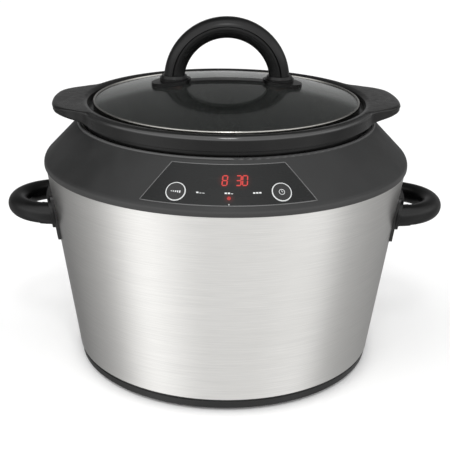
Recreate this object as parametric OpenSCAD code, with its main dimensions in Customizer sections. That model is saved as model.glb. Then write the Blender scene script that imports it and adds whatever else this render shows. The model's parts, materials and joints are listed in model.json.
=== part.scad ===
// Round countertop slow cooker: a tapered steel casing on a black base tray, a sloping
// collar with the controls, a heating well, a lift-out crock and a lift-off glass lid.
// The origin is on the surface that the cooker stands on, under its centre. The controls
// face -Y, +X is the cooker's right hand side as seen from the front, and +Z is up.

/* [Casing and base] */
// Height of the collar's lower edge above the worktop
shoulder_z = 164.5; // [160:0.5:169]
// Radius of the casing where it meets the collar
casing_top_r = 144; // [143:0.5:144]
// Radius of the casing at its foot
casing_foot_r = 121.9; // [121.5:0.1:123]
// Thickness of the casing's steel sheet
sheet_t = 0.8; // [0.6:0.1:0.8]
// Height of the rubber feet under the tray's skirt
foot_gap = 2; // [1.5:0.5:2.5]

/* [Collar] */
// Widest radius of the collar
collar_r = 145.1; // [145:0.1:146]
// Height of the collar's inner lip above its lower edge
lip_rise = 33.3; // [32:0.1:34]
// Radius of the bead along the collar's inner lip
lip_r = 116.6; // [116:0.1:117]
// Wall thickness of the collar
collar_wall = 2.6; // [2.2:0.1:2.8]

/* [Crock] */
// Outer radius of the crock's rolled rim
rim_r = 117.9; // [117:0.1:119]
// Height of the crest of the rim above the collar's lower edge
rim_rise = 48.8; // [48:0.1:50]
// Radius of the crock's inside at its mouth
mouth_r = 101; // [99:0.5:102]
// Distance from the centre to the tip of each lug
lug_reach = 137; // [132:0.5:140]
// Thickness of each lug at its tip
lug_t = 6.2; // [5.8:0.1:7]
// Angle by which the crock sits turned in the well
lug_turn = 2; // [0:0.5:5]

/* [Lid] */
// Outer radius of the lid's steel band
lid_r = 105.2; // [104.5:0.1:106]
// Height of the top of the glass above the collar's lower edge
glass_rise = 62.3; // [61:0.1:63]
// Thickness of the glass
glass_t = 4; // [3.5:0.1:4]
// Outer radius of the arch handle
arch_r = 49.4; // [47:0.1:51]
// Thickness of the arch handle, measured along its radius
arch_t = 16; // [15:0.5:17]

/* [Side handles] */
// Height of the handles' centre line
handle_z = 126; // [122:1:128]
// Radius of each handle's loop, to the centre of the grip
loop_r = 31.5; // [31:0.5:32]
// Radius of the grip
grip_r = 8.3; // [8:0.1:8.6]

/* [Controls] */
// Angle of each key from the front
key_angle = 15.5; // [15:0.5:16.5]
// Radius of each key
key_r = 7.2; // [6.8:0.1:7.3]
// Distance that a key travels when it is pressed
key_travel = 0.5; // [0.3:0.1:0.5]

/* [Hidden] */
$fn = 96;
eps = 0.01;
far = 400;

// Colours
charcoal = "#2b2d2e";
black = "#141414";
soft_black = "#1c1c1c";
steel = "#c9c7c2";
bright_steel = "#d8d8d6";
aluminium = "#b4b6b8";
glass_tint = [0.35, 0.38, 0.36, 0.45];
panel_black = "#101214";
board_green = "#1f5b3a";
copper = "#b06a35";
wool = "#d9d3c3";
silicone = "#8c3b2e";
lamp_red = "#e02818";

// Base
tray_foot_z = foot_gap;
casing_z = tray_foot_z + 8.3;
tray_floor_z = tray_foot_z + 3;
tray_floor_t = 2.5;
tray_top_z = tray_floor_z + tray_floor_t;
dish_rise = 4;
dish_r = 16;
foot_ring_r = 98;
foot_r = 8.5;
foot_stem_r = 3;
feet = 4;
vent_w = 3;
vent_in = 54;
vent_out = 84;

// Casing: the radius grows steadily from the foot to the collar
casing_slope = (casing_top_r - casing_foot_r) / (shoulder_z - casing_z);
function casing_at(z) = casing_foot_r + (z - casing_z) * casing_slope;
tongue_h = 4;
hem_w = 1.3;

// Collar: a cone whose radius falls as it rises
slope_k = 0.97;
slope_r0 = collar_r + 3.6;
slope_tilt = atan(1 / slope_k);
function slope_at(rise) = slope_r0 - slope_k * rise;
shoulder_round = 7;
lip_bead_r = 1.5;
lip_z = shoulder_z + lip_rise;
seat_z = lip_z - 3.8;
seat_in_r = 113.2;
seat_out_r = lip_r - 1.4;

// Control panel, an overlay in a shallow recess of the collar's slope
panel_t = 1;
panel_proud = 0.2;
panel_low = 6.9;
panel_high = 29.3;
panel_top_angle = 19;
panel_low_angle = 25.4;
key_rise = 13.3;
display_rise = 20.5;
lamp_rise = 10.9;
lamp_angle = 8.2;
board_rise = 16.5;
window_w = 30;
window_h = 11;
key_gap = 0.3;
display_board_w = 43;
display_board_h = 23;
display_board_depth = 9.4;
key_board_w = 16;
key_board_h = 24;
key_board_depth = 10.9;
board_t = 1.6;
post_r = 1.8;

// Heating well
well_t = 1.2;
well_floor_z = 46;
well_top_r = 111.6;
well_low_r = 104.4;
well_low_z = 58;
gasket_t = 1;
flange_z = seat_z + gasket_t;
well_slope = (well_top_r - well_low_r) / (flange_z - well_low_z);
function well_in(z) = well_low_r + (z - well_low_z) * well_slope;
function well_out(z) = well_in(z) + well_t;
band_z0 = 70;
band_z1 = 108;
wrap_z0 = 60;
wrap_z1 = 150;
wrap_r = 112.8;
lead_x = 12;
lead_y = 117;
tab_z = 84;

// Crock
crest_z = shoulder_z + rim_rise;
crock_gap = 1.6;
shoulder_face_z = flange_z + well_t + 0.1;
skirt_z = crest_z - 11.6;
ledge_z = crest_z - 6.3;
crock_z = 49.5;
crock_floor = 8;
crock_wall = 8.4;
crest_r = rim_r - 3.8;
dome_r = 8.5;
lug_top_z = crest_z - 0.2;
lug_root_r = rim_r - 5.4;
lug_crease = 3.1;
// Half of a lug's outline: the angle from its middle, and how far in from its reach towards
// the rim the edge lies, from 0 to 1
lug_edge = [
    [0, 0], [4.5, 0], [8.5, 0.01], [11, 0.035], [13, 0.09], [15, 0.19], [16.5, 0.3], [18, 0.43],
    [19.5, 0.59], [21, 0.715], [23, 0.835], [25, 0.91], [27, 0.96], [29, 1]
];
// A lug's edge from its top down: depth and inset, with a crease between two rolls
lug_rolls = [
    [0, 2.4], [0.25, 1.1], [0.85, 0.3], [1.7, 0], [2.5, 0.3], [lug_crease, 1], [3.6, 0.6],
    [4.3, 0.5], [5.3, 1.1], [5.95, 2.4], [6.2, 4.5]
];

// Lid: the glass is a spherical cap
glass_top_z = shoulder_z + glass_rise;
glass_edge_r = lid_r - 1;
cap_rise = 14.5;
cap_r = (pow(glass_edge_r, 2) + pow(cap_rise, 2)) / (2 * cap_rise);
cap_z = glass_top_z - cap_r;
function glass_at(r) = cap_z + sqrt(pow(cap_r, 2) - pow(r, 2));
function under_glass(r) = cap_z + sqrt(pow(cap_r - glass_t, 2) - pow(r, 2));
arch_z = glass_top_z + 0.8;
foot_x = arch_r - arch_t / 2;
strip_t = 1.6;
pad_t = 3;
foot_top_z = glass_top_z + 4.4;
lid_screw_r = 1.9;

// Side handles
plate_t = 2.2;
flange_t = 2.2;
loop_x = 137.5;
sleeve_angle = 15;
handle_screw_r = 2.4;

// Under the well
deflector_z = 37;
sensor_x = 40;
fuse_at = [-30, 44];

// Power board
board_at = [-36, 10];
power_w = 60;
power_h = 44;
power_z = tray_top_z + 6.5;
jumper_x = [-15.5, -20.5];

// Mains cord gland
gland_z = 30;
gland_r = 6;
gland_bore_r = 3.6;

// Points along an arc of radius r about c, from angle a0 to a1 in n steps
function arc(c, r, a0, a1, n = 6) =
    [for (i = [0:n]) c + r * [cos(a0 + (a1 - a0) * i / n), sin(a0 + (a1 - a0) * i / n)]];

// A flat rounded rectangle centred on the origin
module rounded_rect(w, h, r) {
    square([w - 2 * r, h], center = true);
    square([w, h - 2 * r], center = true);
    for (sx = [-1, 1]) {
        for (sy = [-1, 1]) {
            translate([sx * (w / 2 - r), sy * (h / 2 - r)]) circle(r);
        }
    }
}

// Places its children on the collar's slope: their +Z points out of the slope, their +Y
// points up it, and rise is the height above the collar's lower edge
module on_slope(angle, rise) {
    rotate([0, 0, angle])
        translate([0, -slope_at(rise), shoulder_z + rise])
            rotate([slope_tilt, 0, 0])
                children();
}

// A round wire or rod through a list of points, with ball joints at the bends
module wire_run(points, r) {
    for (i = [0:len(points) - 2]) {
        d = points[i + 1] - points[i];
        translate(points[i])
            rotate([0, acos(d[2] / norm(d)), atan2(d[1], d[0])])
                cylinder(r = r, h = norm(d));
    }
    for (i = [1:len(points) - 2]) {
        translate(points[i]) sphere(r);
    }
}

// A flat strip of width w across x, through a list of [y, z] points
module ribbon_run(x, w, t, points) {
    for (i = [0:len(points) - 2]) {
        d = points[i + 1] - points[i];
        translate([x - w / 2, points[i][0], points[i][1]])
            rotate([atan2(d[1], d[0]), 0, 0])
                translate([0, 0, -t / 2]) cube([w, norm(d), t]);
    }
    for (i = [1:len(points) - 2]) {
        translate([x - w / 2, points[i][0], points[i][1]])
            rotate([0, 90, 0]) cylinder(r = t / 2, h = w);
    }
}

// ---- Base ----

module base_tray() {
    color(black) {
        difference() {
            rotate_extrude() polygon([
                [0, tray_floor_z + dish_rise],
                [dish_r, tray_floor_z + dish_rise],
                [dish_r + 3, tray_floor_z],
                [casing_foot_r - 4.5, tray_floor_z],
                [casing_foot_r - 3.7, tray_foot_z],
                [casing_foot_r - 2.5, tray_foot_z],
                [casing_foot_r - 1.7, tray_foot_z + 0.8],
                [casing_foot_r - 0.7, casing_z - 2.3],
                [casing_foot_r - 1.3, casing_z - 1.8],
                [casing_foot_r - 1.3, casing_z - 1],
                [casing_foot_r - 0.3, casing_z - 0.7],
                [casing_foot_r - 0.3, casing_z],
                [casing_foot_r - 1.5, casing_z],
                [casing_foot_r - 1.5, casing_z + 5.7],
                [casing_foot_r - 2.7, casing_z + 5.7],
                [casing_foot_r - 2.7, tray_top_z],
                [dish_r + 4, tray_top_z],
                [dish_r + 1, tray_top_z + dish_rise],
                [0, tray_top_z + dish_rise]
            ]);
            translate([0, 0, -eps]) cylinder(r = 3.4, h = 30);
            feet_at() cylinder(r = foot_stem_r, h = 30);
            for (a = [-70:10:70]) {
                rotate([0, 0, a]) translate([vent_in, -vent_w / 2, 0])
                    cube([vent_out - vent_in, vent_w, 20]);
            }
        }
        power_posts() difference() {
            translate([0, 0, -eps]) cylinder(r = 3, h = 6.5 + eps);
            translate([0, 0, 1]) cylinder(r = 1.2, h = 10);
        }
    }
}

// Places its children at each rubber foot
module feet_at() {
    for (i = [0:feet - 1]) {
        rotate([0, 0, 45 + i * 360 / feet]) translate([foot_ring_r, 0, 0]) children();
    }
}

module rubber_feet() {
    color(soft_black) feet_at() {
        cylinder(r1 = foot_r - 1, r2 = foot_r, h = 1);
        translate([0, 0, 1]) cylinder(r = foot_r, h = tray_floor_z - 1);
        cylinder(r = foot_stem_r, h = tray_top_z + 0.5);
        translate([0, 0, tray_top_z]) cylinder(r1 = foot_stem_r + 1.2, r2 = 2, h = 2.5);
    }
}

module centre_stud() {
    color(steel) {
        translate([0, 0, tray_floor_z]) cylinder(r = 3, h = well_floor_z - well_t - tray_floor_z);
        translate([0, 0, well_floor_z - well_t - 1.5]) cylinder(r = 11, h = 1.5);
    }
}

module centre_washer() {
    color(bright_steel) translate([0, 0, tray_floor_z + dish_rise - 0.8]) difference() {
        cylinder(r = 8, h = 0.8);
        translate([0, 0, -1]) cylinder(r = 3.3, h = 4);
    }
}

module centre_nut() {
    color(bright_steel) translate([0, 0, tray_floor_z + dish_rise - 4]) difference() {
        cylinder(r = 5.8, h = 3.2, $fn = 6);
        translate([0, 0, -1]) cylinder(r = 3.05, h = 6);
    }
}

// ---- Casing and collar ----

module outer_casing() {
    color(steel) difference() {
        rotate_extrude() polygon([
            [casing_foot_r - hem_w, casing_z],
            [casing_foot_r, casing_z],
            [casing_top_r, shoulder_z],
            [casing_top_r, shoulder_z + tongue_h],
            [casing_top_r - sheet_t, shoulder_z + tongue_h],
            [casing_top_r - sheet_t, shoulder_z],
            [casing_at(casing_z + sheet_t) - sheet_t, casing_z + sheet_t],
            [casing_foot_r - hem_w, casing_z + sheet_t]
        ]);
        handle_screw_axes() cylinder(r = handle_screw_r + 0.2, h = 60);
        gland_axis() cylinder(r = gland_r + 0.1, h = 60);
    }
}

// Outline of the collar's outer skin, from its lower edge to its lip
function collar_skin() = concat(
    [[casing_top_r + 0.05, shoulder_z - 0.9]],
    arc([collar_r - 0.9, shoulder_z], 0.9, -90, 0, 4),
    arc([collar_r - shoulder_round, shoulder_z + 3.71 - shoulder_round * tan((90 - slope_tilt) / 2)],
        shoulder_round, 0, 90 - slope_tilt, 8),
    [[slope_at(lip_rise - 1.2), lip_z - 1.2]]
);

module collar_section() {
    polygon(concat(
        collar_skin(),
        [
            [lip_r, lip_z - lip_bead_r],
            [seat_out_r, lip_z - lip_bead_r],
            [seat_out_r, seat_z],
            [seat_in_r, seat_z],
            [seat_in_r, seat_z - collar_wall],
            [slope_at(lip_rise) - 1.2, seat_z - collar_wall],
            [slope_at(8) - collar_wall * 1.4, shoulder_z + 8],
            [casing_top_r - sheet_t - 2.2, shoulder_z + 3],
            [casing_top_r - sheet_t - 2.2, shoulder_z - 2],
            [casing_top_r - sheet_t - 1.2, shoulder_z - 4],
            [casing_top_r - sheet_t - 0.9, shoulder_z - 4],
            [casing_top_r - sheet_t - 0.05, shoulder_z + 0.2],
            [casing_top_r - sheet_t - 0.05, shoulder_z + tongue_h + 0.1],
            [casing_top_r + 0.05, shoulder_z + tongue_h + 0.1]
        ]
    ));
    translate([lip_r, lip_z - lip_bead_r]) circle(lip_bead_r);
}

// A band of the collar's cone, from depth d0 to depth d1 under its skin, between two rises
module slope_band(d0, d1, rise0, rise1) {
    n = [cos(90 - slope_tilt), sin(90 - slope_tilt)];
    p0 = [slope_at(rise0), shoulder_z + rise0];
    p1 = [slope_at(rise1), shoulder_z + rise1];
    rotate_extrude() polygon([p0 - d1 * n, p0 - d0 * n, p1 - d0 * n, p1 - d1 * n]);
}

// The panel's outline seen from above: a wedge that widens towards the front, extended
// past the band that cuts its two curved edges; grow moves its sides outwards
module panel_wedge(grow) {
    top = slope_at(panel_high) * [sin(panel_top_angle), -cos(panel_top_angle)];
    low = slope_at(panel_low) * [sin(panel_low_angle), -cos(panel_low_angle)];
    way = (low - top) / norm(low - top);
    a = top - 12 * way + [grow, 0];
    b = low + 30 * way + [grow, 0];
    linear_extrude(height = 300) polygon([a, b, [-b[0], b[1]], [-a[0], a[1]]]);
}

module collar() {
    color(charcoal) {
        difference() {
            rotate_extrude() collar_section();
            intersection() {
                slope_band(-2, panel_t - panel_proud, panel_low - 0.15, panel_high + 0.15);
                panel_wedge(0.15);
            }
            for (side = [-1, 1]) {
                on_slope(side * key_angle, key_rise)
                    translate([0, 0, -8]) cylinder(r = key_r + key_gap, h = 12);
            }
            on_slope(0, display_rise) translate([-window_w / 2, -window_h / 2, -9])
                cube([window_w, window_h, 12]);
            lamp_axes() translate([0, 0, -8]) cylinder(r = 1.7, h = 12);
        }
        board_posts();
    }
}

// Places its children at the three lamps
module lamp_axes() {
    for (side = [-1:1]) {
        on_slope(side * lamp_angle, lamp_rise) children();
    }
}

// Places its children at the screw of each stand-off, at the back of the boards
module board_post_axes() {
    for (side = [-1, 1]) {
        on_slope(0, board_rise)
            translate([side * (display_board_w / 2 - 2.2), 0, -display_board_depth]) children();
        for (end = [-1, 1]) {
            on_slope(side * key_angle, key_rise)
                translate([0, end * (key_board_h / 2 - 2.2), -key_board_depth]) children();
        }
    }
}

module board_posts() {
    difference() {
        board_post_axes() cylinder(r = post_r, h = display_board_depth - 1.2);
        board_post_axes() translate([0, 0, -1]) cylinder(r = 0.9, h = 6);
        slope_band(-20, 1.6, 0, 40);
    }
}

module control_panel() {
    color(panel_black) difference() {
        intersection() {
            slope_band(-panel_proud, panel_t - panel_proud - 0.02, panel_low, panel_high);
            panel_wedge(0);
        }
        for (side = [-1, 1]) {
            on_slope(side * key_angle, key_rise)
                translate([0, 0, -8]) cylinder(r = key_r + key_gap, h = 12);
        }
    }
}

// ---- Keys, boards and lamps ----

// A round key with a bevelled face, a stop flange behind the collar's wall and a stem
module key(side) {
    on_slope(side * key_angle, key_rise) rotate_extrude() polygon([
        [0, -6],
        [2, -6],
        [2, -5],
        [key_r + 0.8, -5],
        [key_r + 0.8, -4.1],
        [key_r, -4.1],
        [key_r, 0.1],
        [key_r - 0.4, 0.5],
        [key_r - 1.1, 0.4],
        [0, 0.3]
    ]);
}

module select_key() {
    color(panel_black) key(-1);
}

module time_key() {
    color(panel_black) key(1);
}

module display_board() {
    color(board_green) on_slope(0, board_rise)
        translate([0, 0, -display_board_depth - board_t]) difference() {
            linear_extrude(height = board_t) rounded_rect(display_board_w, display_board_h, 1);
            for (side = [-1, 1]) {
                translate([side * (display_board_w / 2 - 2.2), 0, -1]) cylinder(r = 1.1, h = 4);
            }
        }
}

module key_boards() {
    color(board_green) for (side = [-1, 1]) {
        on_slope(side * key_angle, key_rise)
            translate([0, 0, -key_board_depth - board_t]) difference() {
                linear_extrude(height = board_t) rounded_rect(key_board_w, key_board_h, 1);
                for (end = [-1, 1]) {
                    translate([0, end * (key_board_h / 2 - 2.2), -1]) cylinder(r = 1.1, h = 4);
                }
            }
    }
}

module tact_switches() {
    button_top = -6 - key_travel - 0.1;
    color(aluminium) for (side = [-1, 1]) {
        on_slope(side * key_angle, key_rise) {
            translate([-3, -3, -key_board_depth]) cube([6, 6, 3.3]);
            translate([0, 0, -key_board_depth + 3])
                cylinder(r = 1.7, h = button_top + key_board_depth - 3);
        }
    }
}

module board_screws() {
    color(bright_steel) board_post_axes() {
        translate([0, 0, -board_t - 1.2]) cylinder(r = 1.9, h = 1.2);
        translate([0, 0, -board_t - 0.5]) cylinder(r = 0.85, h = board_t + 4.5);
    }
}

module display_module() {
    color(panel_black) on_slope(0, display_rise)
        translate([0, 0, -display_board_depth]) {
            translate([-14, -5, 0]) cube([28, 10, display_board_depth - 3.8]);
        }
}

module lamps() {
    color(lamp_red) lamp_axes() {
        lamp_top = -1.4;
        lamp_foot = -7.8;
        translate([0, 0, lamp_foot]) cylinder(r = 1.4, h = lamp_top - lamp_foot);
    }
}

// ---- Heating well and what hangs from it ----

module heating_well() {
    corner = 12;
    color(aluminium) rotate_extrude() polygon(concat(
        [[0, well_floor_z - well_t], [well_low_r - corner, well_floor_z - well_t]],
        arc([well_low_r - corner, well_floor_z + corner], corner + well_t, -90, 0, 8),
        [
            [well_out(flange_z), flange_z],
            [seat_out_r - 0.1, flange_z],
            [seat_out_r - 0.1, flange_z + well_t],
            [well_top_r, flange_z + well_t]
        ],
        arc([well_low_r - corner, well_floor_z + corner], corner, 0, -90, 8),
        [[0, well_floor_z]]
    ));
}

module well_gasket() {
    color(silicone) rotate_extrude()
        translate([seat_in_r + 0.3, seat_z]) square([seat_out_r - seat_in_r - 0.4, gasket_t]);
}

module heater_band() {
    color(steel) {
        rotate_extrude() polygon([
            [well_out(band_z0) + 0.15, band_z0],
            [well_out(band_z0) + 2.6, band_z0],
            [well_out(band_z1) + 2.6, band_z1],
            [well_out(band_z1) + 0.15, band_z1]
        ]);
        for (side = [-1, 1]) {
            translate([side * lead_x - 0.5, 107.5, tab_z]) cube([1, 8, 7]);
        }
    }
}

module insulation_blanket() {
    color(wool) difference() {
        rotate_extrude() difference() {
            polygon([
                [well_out(wrap_z0) + 0.3, wrap_z0],
                [wrap_r, wrap_z0],
                [wrap_r, wrap_z1],
                [well_out(wrap_z1) + 0.3, wrap_z1]
            ]);
            polygon([
                [well_out(band_z0), band_z0 - 0.3],
                [well_out(band_z0) + 2.8, band_z0 - 0.3],
                [well_out(band_z1) + 2.8, band_z1 + 0.3],
                [well_out(band_z1), band_z1 + 0.3]
            ]);
        }
        for (side = [-1, 1]) {
            translate([side * lead_x - 1, 100, tab_z - 1]) cube([2, 20, 9]);
        }
    }
}

module heat_deflector() {
    color(aluminium) difference() {
        union() {
            rotate_extrude() polygon([
                [0, deflector_z], [96, deflector_z], [99, deflector_z + 5],
                [98, deflector_z + 5], [95.4, deflector_z + 1], [0, deflector_z + 1]
            ]);
            for (a = [30, 150, 270]) {
                rotate([0, 0, a]) translate([70, 0, deflector_z])
                    cylinder(r = 4, h = well_floor_z - well_t - deflector_z);
            }
        }
        translate([0, 0, deflector_z - 1]) cylinder(r = 12, h = 3);
        translate([sensor_x, 0, deflector_z - 1]) cylinder(r = 11, h = 3);
    }
}

module sensor_probe() {
    color(aluminium) translate([sensor_x, 0, 0]) {
        translate([0, 0, deflector_z + 2]) cylinder(r = 9, h = well_floor_z - well_t - deflector_z - 2);
        translate([0, 0, deflector_z - 9]) cylinder(r = 2.5, h = 12);
    }
}

// A bridge strip under the deflector that carries the probe's stem
module sensor_bracket() {
    color(steel) translate([sensor_x, 0, deflector_z]) difference() {
        union() {
            translate([-4, -12, -5]) cube([8, 24, 1]);
            for (side = [-1, 1]) {
                translate([-4, side * 12 - 0.5, -5]) cube([8, 1, 5]);
                translate([-4, side * 15 - 3.5, -1]) cube([8, 7, 1]);
            }
        }
        translate([0, 0, -7]) cylinder(r = 2.6, h = 5);
    }
}

module thermal_fuse() {
    color(bright_steel) translate([fuse_at[0], fuse_at[1], deflector_z - 3.2]) rotate([0, 90, 0]) {
        translate([0, 0, -5]) cylinder(r = 2, h = 10);
        translate([0, 0, -14]) cylinder(r = 0.6, h = 28);
    }
}

module fuse_clip() {
    color(steel) translate([fuse_at[0], fuse_at[1], deflector_z]) {
        translate([-3, -3.2, -6.2]) cube([6, 6.4, 0.8]);
        for (side = [-1, 1]) {
            translate([-3, side * 2.8 - 0.4, -6.2]) cube([6, 0.8, 6.2]);
        }
    }
}

// ---- Electrics in the base ----

// Places its children at the power board's four corner posts
module power_posts() {
    for (sx = [-1, 1]) {
        for (sy = [-1, 1]) {
            translate([board_at[0] + sx * (power_w / 2 - 4), board_at[1] + sy * (power_h / 2 - 4),
                       tray_top_z]) children();
        }
    }
}

module power_board() {
    color(board_green) difference() {
        translate([board_at[0], board_at[1], power_z])
            linear_extrude(height = board_t) rounded_rect(power_w, power_h, 2);
        power_posts() cylinder(r = 1.5, h = 20);
    }
}

// Relay, filter capacitor, transformer, two reservoir capacitors and a header
module power_parts() {
    color(copper) translate([board_at[0], board_at[1], power_z + board_t]) {
        translate([-22, -8, 0]) cube([19, 15, 15]);
        translate([-18, 9, 0]) cube([18, 8, 12]);
        translate([0, -7, 0]) cube([20, 18, 16]);
        translate([6, 16, 0]) cylinder(r = 4, h = 13);
        translate([13.5, 14.6, 0]) cylinder(r = 3, h = 11);
        translate([-3, -19, 0]) cube([24, 6, 7]);
    }
}

module terminal_block() {
    color(bright_steel) translate([0, 0, tray_top_z]) difference() {
        translate([-15, 86, 0]) cube([30, 14, 17]);
        for (x = [-9, 0, 9]) {
            translate([x, 93, 10]) cylinder(r = 2.4, h = 10);
            translate([x, 80, 6]) rotate([-90, 0, 0]) cylinder(r = 1.9, h = 10);
        }
    }
}

// Two wires from the terminal block, bent square, that drop onto the power board's edge
module supply_jumpers() {
    low_z = tray_top_z + 6;
    high_z = power_z + board_t + 4;
    edge_y = board_at[1] + power_h / 2;
    color(copper) for (i = [0, 1]) {
        terminal_x = -9 * i;
        board_x = jumper_x[i];
        bend_y = 62 + 9 * i;
        wire_run([[terminal_x, 89.9, low_z], [terminal_x, bend_y, low_z], [board_x, bend_y, low_z],
                  [board_x, edge_y + 6, low_z], [board_x, edge_y + 6, high_z],
                  [board_x, edge_y - 3, high_z], [board_x, edge_y - 3, power_z + board_t]], 1.3);
    }
}

module heater_leads() {
    color(soft_black) for (side = [-1, 1]) {
        wire_run([[side * lead_x, 100, tray_top_z + 12], [side * lead_x, lead_y, tray_top_z + 12],
                  [side * lead_x, lead_y, tab_z + 4]], 1.4);
    }
}

module control_ribbon() {
    ribbon_y = -116;
    color(aluminium) ribbon_run(-14, 12, 1, [
        [-12, power_z + board_t + 0.5],
        [ribbon_y, power_z + board_t + 0.5],
        [ribbon_y, shoulder_z - 13],
        [-130.5, shoulder_z - 2.5]
    ]);
}

// ---- Mains cord gland ----

// Places its children on the gland's axis, pointing out of the back of the casing
module gland_axis() {
    translate([0, 90, gland_z]) rotate([-90, 0, 0]) children();
}

module cord_gland() {
    wall_y = casing_at(gland_z) - 90;
    color(soft_black) difference() {
        union() {
            gland_axis() translate([0, 0, wall_y - 9]) cylinder(r = gland_r, h = 13);
            difference() {
                gland_axis() translate([0, 0, wall_y - 2]) cylinder(r = gland_r + 3, h = 5);
                casing_cone(0.03, gland_z - 20, gland_z + 20);
            }
            gland_axis() translate([0, 0, wall_y + 3])
                cylinder(r1 = gland_r + 1.5, r2 = gland_r - 0.8, h = 9);
        }
        gland_axis() cylinder(r = gland_bore_r, h = 80);
    }
}

module gland_nut() {
    wall_y = casing_at(gland_z) - 90;
    color(black) gland_axis() difference() {
        translate([0, 0, wall_y - 6.7]) cylinder(r = gland_r + 3.5, h = 4, $fn = 6);
        cylinder(r = gland_r + 0.03, h = 80);
    }
}

// ---- Side handles ----

// Places its children on each handle screw's axis, pointing away from the casing
module handle_screw_axes() {
    for (side = [-1, 1]) {
        mirror([side < 0 ? 1 : 0, 0, 0]) screw_pair() children();
    }
}

module screw_pair() {
    for (end = [-1, 1]) {
        translate([100, end * loop_r, handle_z]) rotate([0, 90, 0]) children();
    }
}

// All that lies inside the casing's outer surface grown by t, between two heights
module casing_cone(t, z0, z1) {
    rotate_extrude() polygon([
        [0, z0], [casing_at(z0) + t, z0], [casing_at(z1) + t, z1], [0, z1]
    ]);
}

// A skin on the casing's right side, from t0 to t1 outside it, with a rounded outline
module casing_skin(t0, t1, w, z0, z1, corner) {
    intersection() {
        rotate_extrude() polygon([
            [casing_at(z0 - 5) + t0, z0 - 5],
            [casing_at(z0 - 5) + t1, z0 - 5],
            [casing_at(z1 + 5) + t1, z1 + 5],
            [casing_at(z1 + 5) + t0, z1 + 5]
        ]);
        translate([0, 0, (z0 + z1) / 2]) rotate([90, 0, 90])
            linear_extrude(height = far) rounded_rect(w, z1 - z0, corner);
    }
}

module handle_plate() {
    difference() {
        casing_skin(0.02, plate_t, 78, handle_z - 20.5, handle_z + 16, 3);
        screw_pair() cylinder(r = handle_screw_r + 0.2, h = 80);
    }
}

module handle_plate_right() {
    color(black) handle_plate();
}

module handle_plate_left() {
    color(black) mirror([1, 0, 0]) handle_plate();
}

// Part of the grip's ring, from one angle to another, with a round section of radius r
module ring_part(from, to, r) {
    rotate([0, 0, from]) rotate_extrude(angle = to - from) translate([loop_r, 0]) circle(r);
}

// Half a ring with a sleeve and then a short boss at each end, on a curved flange
module side_handle() {
    sleeve_r = grip_r + 0.4;
    root_x = 6;
    difference() {
        union() {
            casing_skin(plate_t - 1, plate_t + flange_t, 81.5, handle_z - 12, handle_z + 12, 11);
            translate([loop_x, 0, handle_z]) {
                ring_part(sleeve_angle - 90, 90 - sleeve_angle, grip_r);
                ring_part(-90, sleeve_angle - 90, sleeve_r);
                ring_part(90 - sleeve_angle, 90, sleeve_r);
                for (end = [-1, 1]) {
                    translate([-root_x, end * loop_r, 0]) rotate([0, 90, 0])
                        cylinder(r = sleeve_r + 0.3, h = root_x);
                }
            }
        }
        casing_cone(plate_t + 0.02, handle_z - 22, handle_z + 22);
        screw_pair() cylinder(r = handle_screw_r + 0.05, h = 51);
    }
}

module handle_right() {
    color(black) side_handle();
}

module handle_left() {
    color(black) mirror([1, 0, 0]) side_handle();
}

module backing_plates() {
    color(steel) for (side = [0, 1]) {
        mirror([side, 0, 0]) difference() {
            casing_skin(-sheet_t - 2, -sheet_t - 0.05, 88, handle_z - 10, handle_z + 10, 4);
            screw_pair() cylinder(r = handle_screw_r + 0.2, h = 80);
        }
    }
}

module handle_screws() {
    inner_r = casing_at(handle_z) - sheet_t - 2;
    head_x = sqrt(pow(inner_r, 2) - pow(loop_r + 4.6, 2)) - 0.8;
    color(bright_steel) handle_screw_axes() {
        translate([0, 0, head_x - 103]) cylinder(r = 4.6, h = 3);
        translate([0, 0, head_x - 100.5]) cylinder(r = handle_screw_r, h = 150 - head_x);
    }
}

// ---- Crock ----

// Points of a lug's section at one place of its outline, from the top inside, down its
// edge and back to the inside; part is how far in towards the rim the outline lies there
function lug_section(angle, part) = let (
    reach = lug_reach + part * (rim_r - 2.3 - lug_reach),
    keep = 1 - 0.75 * part,
    grow = (1 + 1.2 * part) * (lug_t - lug_crease) / lug_crease,
    way = [cos(angle), sin(angle)],
    edge = [for (roll = lug_rolls) [
        reach - roll[1] * keep,
        lug_top_z - min(roll[0], lug_crease) - max(roll[0] - lug_crease, 0) * grow
    ]],
    last = edge[len(edge) - 1]
) [
    for (p = concat([[lug_root_r, lug_top_z]], edge, [[lug_root_r, last[1]]]))
        [p[0] * way[0], p[0] * way[1], p[1]]
];

// A flat handle that flares into the rim, with a creased edge
module lug() {
    last = len(lug_edge) - 1;
    places = concat(
        [for (i = [last:-1:1]) [-lug_edge[i][0], lug_edge[i][1]]],
        lug_edge
    );
    count = len(lug_rolls) + 2;
    polyhedron(
        points = [for (place = places) each lug_section(place[0], place[1])],
        faces = concat(
            [for (j = [0:len(places) - 2]) for (k = [0:count - 1]) for (half = [0, 1])
                let (a = j * count + k, b = j * count + (k + 1) % count)
                half == 0 ? [a, a + count, b + count] : [a, b + count, b]],
            [[for (k = [0:count - 1]) k]],
            [[for (k = [count - 1:-1:0]) (len(places) - 1) * count + k]]
        )
    );
}

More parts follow.
